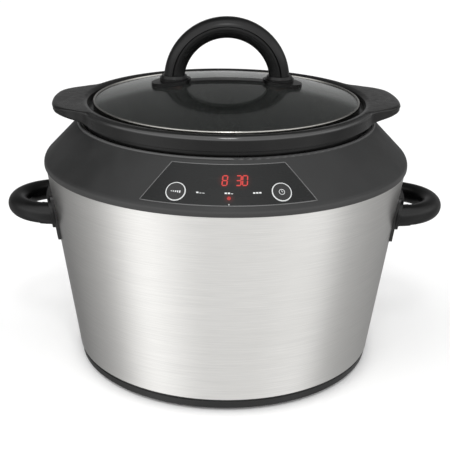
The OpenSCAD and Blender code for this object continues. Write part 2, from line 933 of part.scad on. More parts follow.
module crock_section() {
    low_r = well_in(crock_z + 14) - crock_gap;
    corner = 14;
    inner_low_r = low_r - crock_wall;
    inner_corner = 11;
    floor_z = crock_z + crock_floor;
    polygon(concat(
        [[0, crock_z], [low_r - corner, crock_z]],
        arc([low_r - corner, crock_z + corner], corner, -90, 0, 8),
        [
            [well_in(shoulder_face_z) - crock_gap, shoulder_face_z],
            [seat_out_r - 1.5, shoulder_face_z],
            [seat_out_r - 1.5, skirt_z]
        ],
        arc([rim_r - 1.3, skirt_z + 1.3], 1.3, -90, 0, 4),
        arc([crest_r, crest_z - rim_r + crest_r], rim_r - crest_r, 0, 90, 8),
        arc([crest_r, crest_z - dome_r], dome_r, 95, 115, 4),
        [
            [rim_r - 8.2, crest_z - 1.3],
            [rim_r - 8.5, crest_z - 2.2],
            [rim_r - 8.6, ledge_z],
            [mouth_r + 1.5, ledge_z]
        ],
        arc([mouth_r + 1.5, ledge_z - 1.5], 1.5, 90, 180, 4),
        arc([inner_low_r - inner_corner, floor_z + inner_corner], inner_corner, 0, -90, 8),
        [[0, floor_z]]
    ));
}

module crock() {
    color(black) {
        rotate_extrude() crock_section();
        for (side = [0, 1]) {
            rotate([0, 0, lug_turn + side * 180]) lug();
        }
    }
}

// ---- Lid ----

// Places its children at the two feet of the lid's handle
module lid_feet() {
    for (side = [-1, 1]) {
        translate([side * foot_x, 0, 0]) children();
    }
}

module lid_glass() {
    color(glass_tint) difference() {
        rotate_extrude() intersection() {
            translate([0, cap_z]) difference() {
                circle(cap_r, $fn = 360);
                circle(cap_r - glass_t, $fn = 360);
            }
            translate([0, crest_z - 30]) square([glass_edge_r, 60]);
        }
        lid_feet() cylinder(r = lid_screw_r + 0.6, h = far);
    }
}

// A rolled steel channel around the edge of the glass
module lid_rim() {
    top = glass_at(glass_edge_r);
    low = under_glass(glass_edge_r);
    color(bright_steel) rotate_extrude() polygon(concat(
        [[lid_r - 4.6, low - 0.8]],
        arc([lid_r - 0.9, low + 0.1], 0.9, -90, 0, 3),
        arc([lid_r - 0.9, top + 0.1], 0.9, 0, 90, 4),
        [
            [lid_r - 1.3, top + 1.05],
            [lid_r - 1.7, glass_at(lid_r - 1.7) + 0.05],
            [glass_edge_r + 0.05, top + 0.05],
            [glass_edge_r + 0.05, low - 0.05],
            [lid_r - 4.6, low - 0.05]
        ]
    ));
}

// A shell on the glass, from height t0 to height t1 above it
module glass_skin(t0, t1) {
    difference() {
        intersection() {
            translate([0, 0, cap_z]) sphere(cap_r + t1, $fn = 360);
            translate([0, 0, glass_top_z - 30]) linear_extrude(height = 60) children();
        }
        translate([0, 0, cap_z]) sphere(cap_r + t0, $fn = 360);
    }
}

// The strip under the handle: two oval pads joined by a narrow bridge
module lid_strip() {
    pad_w = 28;
    color(soft_black) difference() {
        union() {
            glass_skin(0.02, strip_t) square([2 * foot_x, 10], center = true);
            glass_skin(0.06, pad_t) for (side = [-1, 1]) {
                translate([side * foot_x, 0]) circle(pad_w / 2 - 1);
                translate([side * (foot_x + 5), 0]) circle(pad_w / 2 - 1);
                translate([side * (foot_x + 2.5), 0]) square([5, pad_w - 2], center = true);
            }
        }
        lid_feet() cylinder(r = lid_screw_r + 0.4, h = far);
    }
}

// Stepped collars between the pads and the arch
module lid_foot_collars() {
    color(black) difference() {
        lid_feet() {
            translate([0, 0, foot_top_z - 12]) cylinder(r = 11.3, h = 10);
            translate([0, 0, foot_top_z - 2]) cylinder(r1 = 10.6, r2 = 9.7, h = 2);
        }
        translate([0, 0, cap_z]) sphere(cap_r + pad_t + 0.02, $fn = 360);
        lid_feet() cylinder(r = lid_screw_r + 0.3, h = far);
    }
}

// Half a ring whose section is rounded outside, with a crease on each face and a tapered
// inner band
module lid_handle() {
    half_w = 9;
    centre = arch_r - half_w;
    inside = arch_r - arch_t;
    bottom = centre - inside;
    band = [
        [bottom + 1.9, half_w - 1.3], [bottom + 1.2, half_w - 0.85], [bottom, half_w - 0.75],
        [bottom - 2, half_w - 1.1], [bottom - 4, half_w - 2], [1, half_w - 3.6], [0, half_w - 4.8]
    ];
    color(black) difference() {
        translate([0, 0, arch_z]) rotate([90, 0, 0]) rotate_extrude(angle = 180)
            polygon(concat(
                arc([centre, 0], half_w, -74, 74, 18),
                [for (p = band) [inside + p[0], p[1]]],
                [for (i = [len(band) - 1:-1:0]) [inside + band[i][0], -band[i][1]]]
            ));
        translate([-100, -50, foot_top_z - 50]) cube([200, 100, 50]);
        lid_feet() cylinder(r = lid_screw_r + 0.03, h = foot_top_z + 9);
    }
}

module lid_washers() {
    color(silicone) difference() {
        intersection() {
            lid_feet() translate([0, 0, under_glass(foot_x + 7) - 2]) cylinder(r = 7, h = 12);
            translate([0, 0, cap_z]) sphere(cap_r - glass_t - 0.02, $fn = 360);
        }
        lid_feet() cylinder(r = lid_screw_r + 0.2, h = far);
    }
}

module lid_screws() {
    washer_z = under_glass(foot_x + 7) - 2;
    color(bright_steel) lid_feet() {
        translate([0, 0, washer_z - 2.6]) cylinder(r1 = 3, r2 = 4, h = 2.6);
        translate([0, 0, washer_z - 0.5]) cylinder(r = lid_screw_r, h = foot_top_z + 8 - washer_z);
    }
}

// ---- Assembly ----

base_tray();
rubber_feet();
centre_stud();
centre_washer();
centre_nut();
outer_casing();
collar();
heating_well();
well_gasket();
heater_band();
insulation_blanket();
heat_deflector();
sensor_probe();
sensor_bracket();
thermal_fuse();
fuse_clip();
power_board();
power_parts();
terminal_block();
supply_jumpers();
heater_leads();
control_ribbon();
display_board();
key_boards();
tact_switches();
board_screws();
display_module();
lamps();
control_panel();
handle_left();
handle_right();
handle_plate_left();
handle_plate_right();
backing_plates();
handle_screws();
cord_gland();
gland_nut();
select_key();
time_key();
crock();
lid_glass();
lid_rim();
lid_strip();
lid_foot_collars();
lid_handle();
lid_washers();
lid_screws();
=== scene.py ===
"""Looks for the round slow cooker: materials, panel graphics, floor, light and camera."""

import json
import math

import bmesh
import bpy
from mathutils import Matrix, Vector


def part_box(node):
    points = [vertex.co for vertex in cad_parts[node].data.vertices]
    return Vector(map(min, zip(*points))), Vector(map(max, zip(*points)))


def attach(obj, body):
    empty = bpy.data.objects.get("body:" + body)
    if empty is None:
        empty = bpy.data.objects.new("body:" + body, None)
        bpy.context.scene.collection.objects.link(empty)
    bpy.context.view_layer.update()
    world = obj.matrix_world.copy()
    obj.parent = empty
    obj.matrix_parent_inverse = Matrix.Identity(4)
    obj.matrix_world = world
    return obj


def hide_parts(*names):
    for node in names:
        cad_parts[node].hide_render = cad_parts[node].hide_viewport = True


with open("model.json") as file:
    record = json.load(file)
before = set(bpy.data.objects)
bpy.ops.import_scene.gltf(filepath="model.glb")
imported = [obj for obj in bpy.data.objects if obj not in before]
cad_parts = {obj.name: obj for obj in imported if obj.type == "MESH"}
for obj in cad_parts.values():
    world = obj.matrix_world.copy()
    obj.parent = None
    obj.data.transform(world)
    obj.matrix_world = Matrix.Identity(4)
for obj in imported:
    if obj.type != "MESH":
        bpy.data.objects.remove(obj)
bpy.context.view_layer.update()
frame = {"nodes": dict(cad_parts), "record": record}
scene = bpy.context.scene
MM = 0.001

# ---- The collar's slope, as the CAD has it: millimetres and degrees, from the collar's box ----

# From the collar's lowest edge up to its shoulder, and how far outside the collar the slope's
# line is at that height
SHOULDER_RISE, SLOPE_OUTSET = 4, 3.6
# How far the slope goes in for each millimetre up
SLOPE = 0.97
collar_low, collar_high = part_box("collar")
SHOULDER_Z = collar_low.z + SHOULDER_RISE * MM
SLOPE_R0 = collar_high.x + SLOPE_OUTSET * MM
SLOPE_TILT = math.atan(1 / SLOPE)

# Rises above the shoulder, and angles from the front
PANEL_LOW, PANEL_HIGH = 6.9, 29.3
PANEL_LOW_ANGLE, PANEL_TOP_ANGLE = 25.4, 19
KEY_ANGLE, KEY_RISE = 15.5, 13.3
DIGIT_RISE, LABEL_RISE, LAMP_RISE, POINTER_RISE = 20.5, 13.6, 10.9, 7.6
LABEL_ANGLE = 8.2
DIGIT_ANGLES = [("8", -1.2), ("3", 3.0), ("0", 4.95)]
# The rises between which the collar's roll fades out and its lip fades in: along both the plastic is
# glossier and is painted paler as a highlight
ROLL_FADE, LIP_FADE = (2.6, 4.2), (31.9, 32.7)
# How far the panel stands out of the slope, and the marks and the lamp on it
PANEL_PROUD = 0.2
PRINT_LIFT, LAMP_LIFT = PANEL_PROUD + 0.02, PANEL_PROUD + 0.01
# The red glow round the digits and the lamp: angle, rise and reach in metres
GLOWS = [(-1.2, DIGIT_RISE, 0.0065), (3.9, DIGIT_RISE, 0.0085), (0.0, LAMP_RISE, 0.005)]
GLOW_STRENGTH = 0.05


def on_slope(angle, rise, lift=0.0):
    """A place on the collar's slope: +Z points out of it and +Y up it."""
    radius = SLOPE_R0 - SLOPE * rise * MM
    return (Matrix.Rotation(math.radians(angle), 4, "Z")
            @ Matrix.Translation((0, -radius, SHOULDER_Z + rise * MM))
            @ Matrix.Rotation(SLOPE_TILT, 4, "X")
            @ Matrix.Translation((0, 0, lift * MM)))


# ---- Node helpers ----

SOCKETS = {
    "BaseColor": "Base Color", "SpecularIORLevel": "Specular IOR Level",
    "CoatWeight": "Coat Weight", "CoatRoughness": "Coat Roughness",
    "TransmissionWeight": "Transmission Weight", "EmissionColor": "Emission Color",
    "EmissionStrength": "Emission Strength", "AnisotropicRotation": "Anisotropic Rotation",
    "SheenWeight": "Sheen Weight", "SheenRoughness": "Sheen Roughness",
    "SubsurfaceWeight": "Subsurface Weight",
}


def grey(level, tint=(1, 1, 1)):
    return tuple(level * t for t in tint) + (1,)


class Tree:
    """The node tree of a material or a world, and short ways to add nodes to it."""

    def __init__(self, owner):
        owner.use_nodes = True
        self.tree = owner.node_tree
        self.tree.nodes.clear()

    def put(self, socket, value):
        if isinstance(value, bpy.types.NodeSocket):
            self.tree.links.new(value, socket)
        else:
            socket.default_value = value

    def add(self, kind, inputs=None, **settings):
        node = self.tree.nodes.new("ShaderNode" + kind)
        for key, value in settings.items():
            setattr(node, key, value)
        for key, value in (inputs or {}).items():
            self.put(node.inputs[key], value)
        return node

    def mix(self, factor, a, b):
        return self.add("Mix", {0: factor, 6: a, 7: b}, data_type="RGBA").outputs[2]

    def maths(self, operation, a, b=0.0):
        return self.add("Math", {0: a, 1: b}, operation=operation).outputs[0]

    def ramp(self, stops, value):
        """Reads a list of (place, level) with a smooth curve."""
        node = self.add("ValToRGB", {"Fac": value})
        node.color_ramp.interpolation = "EASE"
        elements = node.color_ramp.elements
        while len(elements) < len(stops):
            elements.new(0.5)
        for element, (place, level) in zip(elements, stops):
            element.position = place
            element.color = grey(level)
        return node.outputs["Color"]


class Shader(Tree):
    """A material's node tree round one Principled shader."""

    def __init__(self, name):
        self.material = bpy.data.materials.new(name)
        super().__init__(self.material)
        self.bsdf = self.add("BsdfPrincipled")
        self.add("OutputMaterial", {"Surface": self.bsdf.outputs[0]})
        self.coords = self.add("TexCoord").outputs["Object"]

    def set(self, **values):
        for key, value in values.items():
            self.put(self.bsdf.inputs[SOCKETS.get(key, key)], value)

    def noise(self, scale, detail=3, rough=0.5):
        """Noise whose cells per metre are scale, one number or one for each axis."""
        sizes = scale if isinstance(scale, tuple) else (scale, scale, scale)
        where = self.add("VectorMath", {0: self.coords, 1: sizes}, operation="MULTIPLY").outputs[0]
        inputs = {"Vector": where, "Scale": 1.0, "Detail": detail, "Roughness": rough}
        return self.add("TexNoise", inputs).outputs["Fac"]

    def span(self, value, low, high, to_low=0.0, to_high=1.0):
        """Turns low to high into to_low to to_high, smoothly, and holds the ends."""
        inputs = {"Value": value, "From Min": low, "From Max": high, "To Min": to_low, "To Max": to_high}
        return self.add("MapRange", inputs, interpolation_type="SMOOTHSTEP").outputs["Result"]

    def window(self, value, rise, fall):
        """1 between the rise and the fall, each given by its two ends, and 0 outside them."""
        return self.maths("MULTIPLY", self.span(value, *rise), self.span(value, *fall, 1.0, 0.0))

    def bump(self, height, distance, strength):
        inputs = {"Height": height, "Distance": distance, "Strength": strength}
        return self.add("Bump", inputs).outputs["Normal"]

    def height(self):
        return self.add("SeparateXYZ", {0: self.coords}).outputs[2]

    def radius(self):
        """The distance from the Z axis."""
        x, y, _ = self.add("SeparateXYZ", {0: self.coords}).outputs
        squares = self.maths("ADD", self.maths("POWER", x, 2), self.maths("POWER", y, 2))
        return self.maths("SQRT", squares)


# ---- Camera, light and floor ----


def make_camera():
    """The front from a little above, and from about a degree round towards -X."""
    distance, elevation = 0.81526, math.radians(16.36)
    pitch, roll, swing = math.radians(20.271), math.radians(0.705), math.radians(-1.0)
    forward = Vector((0, math.cos(pitch), -math.sin(pitch)))
    right = Vector((1, 0, 0))
    up = right.cross(forward)
    turn = Matrix.Rotation(swing, 3, "Z")
    x_axis = turn @ (math.cos(roll) * right + math.sin(roll) * up)
    y_axis = turn @ (math.cos(roll) * up - math.sin(roll) * right)
    place = turn @ Vector((0, -distance * math.cos(elevation), 0))
    place.z = SHOULDER_Z + distance * math.sin(elevation)
    axes = Matrix((x_axis, y_axis, -(turn @ forward))).transposed().to_4x4()
    data = bpy.data.cameras.new("camera")
    data.lens, data.sensor_width = 80.28, 36
    data.clip_start, data.clip_end = 0.01, 50
    camera = bpy.data.objects.new("camera", data)
    scene.collection.objects.link(camera)
    camera.matrix_world = Matrix.Translation(place) @ axes
    scene.camera = camera


# Brightness that a mirror sees below the horizon, from the back (0) by the left, the front
# (0.5) and the right to the back (1)
AROUND = [
    (0.0, 0.4), (0.05, 0.28), (0.1, 0.2), (0.18, 0.36), (0.24, 0.52), (0.33, 1.45), (0.46, 0.92),
    (0.56, 0.97), (0.67, 1.16), (0.76, 0.5), (0.83, 0.4), (0.93, 0.3), (1.0, 0.42),
]
# Half of the factor that changes it with height, from straight down (0) to the horizon (0.5)
LOW_RISE = [(0.12, 0.43), (0.17, 0.48), (0.21, 0.53), (0.3, 0.52), (0.5, 0.5)]
# The same two above the horizon, where the zenith is 1
HIGH_AROUND = [
    (0.0, 0.15), (0.15, 0.06), (0.2, 0.15), (0.26, 0.75), (0.34, 1.1), (0.58, 1), (0.74, 0.9),
    (0.8, 0.4), (0.86, 0.15),
]
HIGH_RISE = [
    (0.0, 0.9), (0.54, 0.9), (0.6, 2.4), (0.74, 2.4), (0.8, 1.3), (0.85, 2.6), (0.9, 1.5), (0.96, 2.2),
]
# How the lower pattern gives way to the upper one with height
TO_HIGH = [(0.5, 0), (0.54, 1)]
# Where the back wall is, and how it gives way to its own brightness with height
BACK_AROUND = [(0.0, 1), (0.08, 1), (0.16, 0), (0.84, 0), (0.92, 1), (1.0, 1)]
BACK_RISE = [(0.0, 0), (0.595, 0), (0.65, 1)]
BACK_DARK = 0.16
# The light that reaches rough surfaces, and what the camera sees
AMBIENT, BACKDROP = 0.94, 1


def make_world():
    """A white studio. Mirrors see a bright front, dimmer sides and a dark upper back wall."""
    world = bpy.data.worlds.new("studio")
    scene.world = world
    t = Tree(world)
    x, y, z = t.add("SeparateXYZ", {0: t.add("TexCoord").outputs["Generated"]}).outputs
    turn = t.maths("DIVIDE", t.maths("ARCTAN2", x, t.maths("MULTIPLY", y, -1.0)), math.pi)
    around = t.maths("ADD", t.maths("MULTIPLY", turn, 0.5), 0.5)
    height = t.maths("ADD", t.maths("MULTIPLY", z, 0.5), 0.5)
    fall = t.maths("MULTIPLY", t.ramp(LOW_RISE, height), 2.0)
    low = t.maths("MULTIPLY", t.ramp(AROUND, around), fall)
    high = t.maths("MULTIPLY", t.ramp(HIGH_AROUND, around), t.ramp(HIGH_RISE, height))
    back = t.mix(t.ramp(BACK_RISE, height), low, grey(BACK_DARK))
    front = t.mix(t.ramp(TO_HIGH, height), low, high)
    seen = t.mix(t.ramp(BACK_AROUND, around), front, back)
    path = t.add("LightPath")
    indirect = t.mix(path.outputs["Is Glossy Ray"], grey(AMBIENT), seen)
    colour = t.mix(path.outputs["Is Camera Ray"], indirect, grey(BACKDROP))
    background = t.add("Background", {"Color": colour})
    t.add("OutputWorld", {"Surface": background.outputs[0]})


def make_lights():
    """A small lamp over the front for crisp highlights, and a wide soft sun for the shading."""
    place, target = Vector((0.02, -1.05, 1.4)), Vector((0, 0, 0.15))
    disk = bpy.data.lights.new("top", "AREA")
    disk.shape, disk.size, disk.energy = "DISK", 0.32, 3.6
    light = bpy.data.objects.new("top", disk)
    scene.collection.objects.link(light)
    light.location = place
    light.rotation_euler = (target - place).to_track_quat("-Z", "Y").to_euler()

    sun = bpy.data.lights.new("key", "SUN")
    sun.energy, sun.angle = 0.36, math.radians(40)
    light = bpy.data.objects.new("key", sun)
    scene.collection.objects.link(light)
    light.rotation_euler = Vector((-0.5, -0.4, 1)).to_track_quat("Z", "Y").to_euler()
    light.visible_glossy = False


def make_floor():
    mesh = bpy.data.meshes.new("floor")
    bm = bmesh.new()
    bmesh.ops.create_circle(bm, cap_ends=True, segments=96, radius=6)
    bm.to_mesh(mesh)
    bm.free()
    floor = bpy.data.objects.new("floor", mesh)
    scene.collection.objects.link(floor)
    floor.visible_glossy = False
    s = Shader("pale_floor")
    s.set(BaseColor=grey(0.95), Roughness=0.9, SpecularIORLevel=0.0)
    s.set(EmissionColor=grey(1), EmissionStrength=0.07)
    mesh.materials.append(s.material)


# ---- Materials ----


def brushed(name, dark, light, rough, grain, tint=(1, 0.99, 0.965), anisotropic=0.75):
    """Steel brushed round the Z axis: long streaks, faint patches and a soft vertical sheen."""
    s = Shader(name)
    streaks = s.noise((22, 22, grain), 4, 0.6)
    fine = s.noise((70, 70, grain * 3.1), 3, 0.6)
    patches = s.noise((16, 16, 7), 2)
    both = s.maths("ADD", s.maths("MULTIPLY", streaks, 0.6), s.maths("MULTIPLY", fine, 0.4))
    worn = s.maths("ADD", both, s.maths("MULTIPLY", patches, 0.5))
    tone = s.mix(s.span(both, 0.35, 0.65), grey(dark, tint), grey(light, tint))
    warm = grey(dark * 0.92, (1, 0.985, 0.95))
    s.set(BaseColor=s.mix(s.span(patches, 0.35, 0.7, 0.0, 0.22), tone, warm), Metallic=1.0)
    s.set(Roughness=s.span(worn, 0.4, 1.0, rough * 0.86, rough * 1.16))
    s.set(Anisotropic=anisotropic, AnisotropicRotation=0.25)
    s.set(Tangent=s.add("Tangent", direction_type="RADIAL", axis="Z").outputs[0])
    s.set(Normal=s.bump(both, 0.00004, 0.35))
    return s.material


def casing_steel():
    return brushed("casing_steel", dark=0.66, light=0.76, rough=0.34, grain=2400)


def rim_steel():
    return brushed("rim_steel", dark=0.3, light=0.42, rough=0.22, grain=5200,
                   tint=(1, 0.98, 0.92), anisotropic=0.3)


def plain_steel():
    s = Shader("plain_steel")
    spangle = s.noise(420, 2)
    s.set(BaseColor=s.mix(s.span(spangle, 0.35, 0.65), grey(0.48), grey(0.62)), Metallic=1.0)
    s.set(Roughness=s.span(spangle, 0.3, 0.7, 0.3, 0.46))
    s.set(Normal=s.bump(s.noise(2500, 2), 0.00003, 0.3))
    return s.material


def screw_steel():
    s = Shader("screw_steel")
    fine = s.noise(3500, 3)
    s.set(BaseColor=s.mix(fine, grey(0.6), grey(0.78)), Metallic=1.0)
    s.set(Roughness=s.span(fine, 0.3, 0.7, 0.16, 0.3), Normal=s.bump(fine, 0.00002, 0.25))
    return s.material


def well_aluminium():
    """Spun aluminium: rings round the axis from the forming, dulled by heat in patches."""
    s = Shader("well_aluminium")
    along = s.maths("MULTIPLY", s.maths("ADD", s.radius(), s.maths("MULTIPLY", s.height(), 0.8)), 1400)
    inputs = {"W": along, "Scale": 1.0, "Detail": 2.0}
    rings = s.add("TexNoise", inputs, noise_dimensions="1D").outputs["Fac"]
    heat = s.noise(24, 3)
    tone = s.mix(s.span(rings, 0.3, 0.7), grey(0.4), grey(0.52))
    tone = s.mix(s.span(heat, 0.5, 0.8, 0, 0.5), tone, grey(0.3, (1, 0.93, 0.82)))
    s.set(BaseColor=tone, Metallic=1.0, Roughness=s.span(heat, 0.3, 0.75, 0.36, 0.55))
    s.set(Normal=s.bump(rings, 0.00006, 0.5))
    return s.material


def moulded(name, dark, light, rough, grain, depth, tint=(1, 1, 1), specular=0.5):
    """Moulded plastic: a fine spark-etched grain, slow tone changes and handled patches."""
    s = Shader(name)
    fine = s.noise(grain, 2, 0.6)
    slow = s.noise(34, 3)
    handled = s.maths("ADD", slow, s.maths("MULTIPLY", fine, 0.4))
    tone = s.mix(s.span(slow, 0.35, 0.68), grey(dark, tint), grey(light, tint))
    s.set(BaseColor=s.mix(s.span(fine, 0.5, 0.75, 0.0, 0.35), tone, grey(light * 1.5, tint)))
    s.set(Roughness=s.span(handled, 0.4, 0.95, rough * 0.85, rough * 1.2))
    s.set(SpecularIORLevel=specular, Normal=s.bump(fine, depth, 0.5))
    return s


def charcoal_plastic():
    """The collar's plastic, smoother along its lip and along the roll at its foot, and painted paler
    there as a highlight.
    """
    s = moulded("charcoal_plastic", dark=0.013, light=0.018, rough=0.46, grain=1700,
                depth=0.00006, tint=(0.98, 1, 1), specular=0.32)
    height = s.height()
    lip = s.span(height, *(SHOULDER_Z + rise * MM for rise in LIP_FADE))
    roll = s.span(height, *(SHOULDER_Z + rise * MM for rise in ROLL_FADE), 1.0, 0.0)
    # The paler base colour along the roll and the lip is a painted highlight; the lower roughness there
    # is real gloss.
    for name, roll_highlight_and_gloss, lip_highlight_and_gloss in (("Base Color", 0.036, 0.09), ("Roughness", 0.4, 0.3)):
        socket = s.bsdf.inputs[name]
        between = socket.links[0].from_socket
        s.put(socket, s.mix(lip, s.mix(roll, between, grey(roll_highlight_and_gloss)), grey(lip_highlight_and_gloss)))
    return s.material


def black_plastic():
    return moulded("black_plastic", dark=0.004, light=0.006, rough=0.34, grain=2200,
                   depth=0.00003, specular=0.4).material


def grip_plastic():
    return moulded("grip_plastic", dark=0.003, light=0.005, rough=0.3, grain=2600,
                   depth=0.00002, tint=(1, 1, 1.02), specular=0.22).material


# Where the crock's crest turns outwards: the ends of the fades, in metres
CREST_HEIGHTS = (0.2096, 0.2106), (0.21296, 0.21306)
CREST_RADII = (0.1142, 0.1147), (0.118, 0.1184)


def stoneware():
    """A satin black glaze with a slight orange peel, glossier round the outside of the crest."""
    s = Shader("stoneware")
    peel = s.noise(210, 3)
    slow = s.noise(26, 3)
    crest = s.maths("MULTIPLY", s.window(s.height(), *CREST_HEIGHTS), s.window(s.radius(), *CREST_RADII))
    s.set(BaseColor=s.mix(s.span(slow, 0.35, 0.7), grey(0.006), grey(0.009, (1, 0.99, 0.95))))
    s.set(Roughness=s.span(s.maths("ADD", peel, slow), 0.7, 1.3, 0.26, 0.4), SpecularIORLevel=0.12)
    s.set(CoatWeight=s.maths("ADD", s.maths("MULTIPLY", crest, 0.75), 0.25), CoatRoughness=0.08)
    s.set(Normal=s.bump(peel, 0.0002, 0.25))
    return s.material


def smoked_glass():
    s = Shader("smoked_glass")
    smear = s.noise((40, 12, 12), 3)
    s.set(BaseColor=s.mix(smear, (0.34, 0.37, 0.35, 1), (0.4, 0.43, 0.41, 1)))
    s.set(TransmissionWeight=0.975, IOR=1.5, Roughness=s.span(smear, 0.35, 0.75, 0.02, 0.07))
    return s.material


def panel_gloss():
    """A glossy dark overlay, a little smeared, with the glow of the display and the lit lamp."""
    s = Shader("panel_gloss")
    smear = s.noise((60, 60, 200), 4, 0.6)
    s.set(BaseColor=s.mix(smear, grey(0.008, (0.95, 1, 1)), grey(0.012, (0.95, 1, 1))))
    s.set(Roughness=s.span(smear, 0.35, 0.7, 0.22, 0.34), SpecularIORLevel=0.16)
    glow = 0.0
    for angle, rise, reach in GLOWS:
        inputs = {0: s.coords, 1: tuple(on_slope(angle, rise).translation)}
        away = s.add("VectorMath", inputs, operation="DISTANCE").outputs["Value"]
        glow = s.maths("ADD", glow, s.span(away, 0.0, reach, 1.0, 0.0))
    s.set(EmissionColor=(1, 0.05, 0.03, 1), EmissionStrength=s.maths("MULTIPLY", glow, GLOW_STRENGTH))
    s.set(Normal=s.bump(s.noise(900, 2), 0.00001, 0.3))
    return s.material


def key_gloss():
    s = Shader("key_gloss")
    smear = s.noise((160, 160, 400), 4, 0.6)
    s.set(BaseColor=s.mix(smear, grey(0.008, (0.95, 1, 1)), grey(0.012)))
    s.set(Roughness=s.span(smear, 0.35, 0.7, 0.24, 0.36), SpecularIORLevel=0.32)
    s.set(Normal=s.bump(s.noise(1500, 2), 0.00001, 0.3))
    return s.material


def rubber():
    return moulded("rubber", dark=0.018, light=0.026, rough=0.75, grain=1500,
                   depth=0.00008, specular=0.3).material


def silicone():
    s = moulded("silicone", dark=0.16, light=0.22, rough=0.6, grain=1100,
                depth=0.00004, tint=(1, 0.32, 0.22))
    s.set(SubsurfaceWeight=0.05)
    return s.material


def circuit_board():
    """Green solder mask over copper tracks."""
    s = Shader("circuit_board")
    cells = s.add("TexVoronoi", {"Vector": s.coords, "Scale": 260.0},
                  feature="DISTANCE_TO_EDGE", distance="MANHATTAN").outputs["Distance"]
    track = s.span(cells, 0.04, 0.09)
    s.set(BaseColor=s.mix(track, (0.06, 0.2, 0.09, 1), (0.02, 0.11, 0.05, 1)))
    s.set(Roughness=s.span(s.noise(800), 0.3, 0.7, 0.25, 0.45), Normal=s.bump(track, 0.00008, 0.4))
    return s.material


def component():
    return moulded("component", dark=0.03, light=0.05, rough=0.45, grain=1400,
                   depth=0.00004, tint=(0.95, 1, 1.1)).material


def wool():
    """A glass-fibre blanket: matted strands, with painted shade darkening the soft hollows between them.
    """
    s = Shader("wool")
    inputs = {"Vector": s.coords, "Scale": 160.0, "Detail": 6.0, "Distortion": 2.5}
    strands = s.add("TexNoise", inputs).outputs["Fac"]
    # The darker colour in the hollows is painted shade.
    hollow_shade, strand = grey(0.5, (1, 0.95, 0.82)), grey(0.78, (1, 0.97, 0.9))
    s.set(BaseColor=s.mix(s.span(strands, 0.3, 0.7), hollow_shade, strand), Roughness=0.95)
    s.set(SheenWeight=0.4, SheenRoughness=0.5, Normal=s.bump(strands, 0.002, 0.8))
    return s.material


def wire():
    return moulded("wire", dark=0.2, light=0.28, rough=0.4, grain=1800,
                   depth=0.00003, tint=(1, 0.25, 0.1)).material


RIBBON_PITCH = 0.00127


def ribbon():
    """A flat ribbon cable: parallel cores under grey insulation, painted darker in the grooves between
    them as shade.
    """
    s = Shader("ribbon")
    across = s.add("SeparateXYZ", {0: s.coords}).outputs[0]
    cores = s.maths("SINE", s.maths("MULTIPLY", across, 2 * math.pi / RIBBON_PITCH))
    # The dark lines in the grooves between the cores are painted shade.
    s.set(BaseColor=s.mix(s.span(cores, -0.9, 0.2), grey(0.25), grey(0.42)), Roughness=0.5)
    s.set(Normal=s.bump(cores, 0.0002, 0.6))
    return s.material


def lamp():
    s = Shader("lamp")
    s.set(BaseColor=s.mix(s.noise(900), (0.5, 0.02, 0.01, 1), (0.7, 0.05, 0.03, 1)))
    s.set(Roughness=0.2, TransmissionWeight=0.5)
    return s.material


def print_white_painted_glow():
    """Printed marks: off-white ink with fine wear, and a faint painted glow that keeps them bright under
    any light.
    """
    s = Shader("print_white_painted_glow")
    chips = s.noise(2600, 3, 0.65)
    s.set(BaseColor=s.mix(s.span(chips, 0.62, 0.72), grey(0.72, (0.98, 1, 1)), grey(0.3)))
    s.set(Roughness=s.span(chips, 0.3, 0.7, 0.35, 0.55))
    # A faint white emission: painted glow on the ink, which is no lamp.
    s.set(EmissionColor=grey(1), EmissionStrength=0.06)
    return s.material


# The bead's paler grey is a painted highlight along the edge of the panel.
def border_highlight_plastic():
    return moulded("border_highlight_plastic", dark=0.1, light=0.13, rough=0.3, grain=2000,
                   depth=0.00002).material


def lit_red(name, strength):
    """A lit segment or lamp, a little uneven, as its diffuser makes it."""
    s = Shader(name)
    grain = s.noise(2200, 2)
    s.set(BaseColor=(0.3, 0.01, 0.01, 1))
    s.set(EmissionColor=s.mix(grain, (1, 0.03, 0.02, 1), (1, 0.1, 0.06, 1)))
    s.set(EmissionStrength=s.span(grain, 0.2, 0.8, strength * 0.8, strength * 1.15))
    return s.material


# ---- Mesh helpers ----


def join_rings(bm, rings, closed=True):
    """Adds the faces from each ring of points to the next, and from the last to the first."""
    for i, this in enumerate(rings):
        after = rings[(i + 1) % len(rings)]
        for k in range(len(this) if closed else len(this) - 1):
            m = (k + 1) % len(this)
            bm.faces.new((this[k], after[k], after[m], this[m]))


def finished(bm, name, smooth=False):
    """The mesh that bm has built, with every face turned outwards."""
    bmesh.ops.recalc_face_normals(bm, faces=bm.faces[:])
    mesh = bpy.data.meshes.new(name)
    bm.to_mesh(mesh)
    bm.free()
    if smooth:
        mesh.shade_smooth()
    return mesh


def make_piece(name, mesh, material, body):
    mesh.materials.append(material)
    piece = bpy.data.objects.new(name, mesh)
    scene.collection.objects.link(piece)
    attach(piece, body)
    return piece


